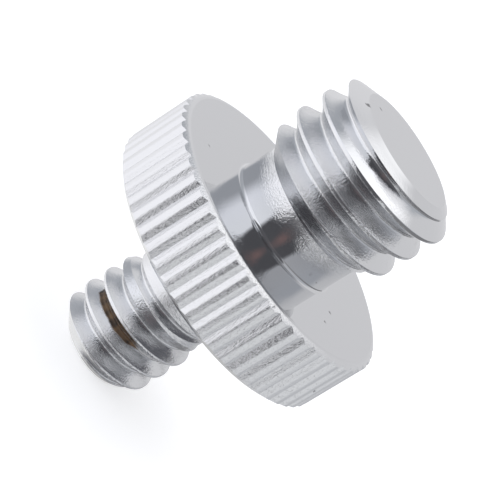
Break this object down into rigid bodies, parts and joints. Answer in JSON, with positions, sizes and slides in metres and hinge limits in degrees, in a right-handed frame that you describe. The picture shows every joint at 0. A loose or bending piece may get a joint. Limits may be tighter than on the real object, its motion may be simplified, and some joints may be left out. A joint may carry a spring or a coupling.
{
  "type": "tripod thread adapter",
  "caption": "Double-ended thread adapter: 3/8 inch and 1/4 inch screw studs on either side of a straight-knurled flange, turned in one piece and plated bright.",
  "frame": {"origin": "on the axis, at the flat end of the small stud, on which the part stands", "axes": "+Z along the axis of both studs, from the small stud to the large one"},
  "size_m": [0.0166, 0.0166, 0.0203],
  "materials": {
    "bright_plating": "bright plated, turning marks on the necks and a faint brown stain in one thread groove"
  },
  "bodies": {
    "root": {"adapter": "bright_plating"}
  },
  "joints": []
}
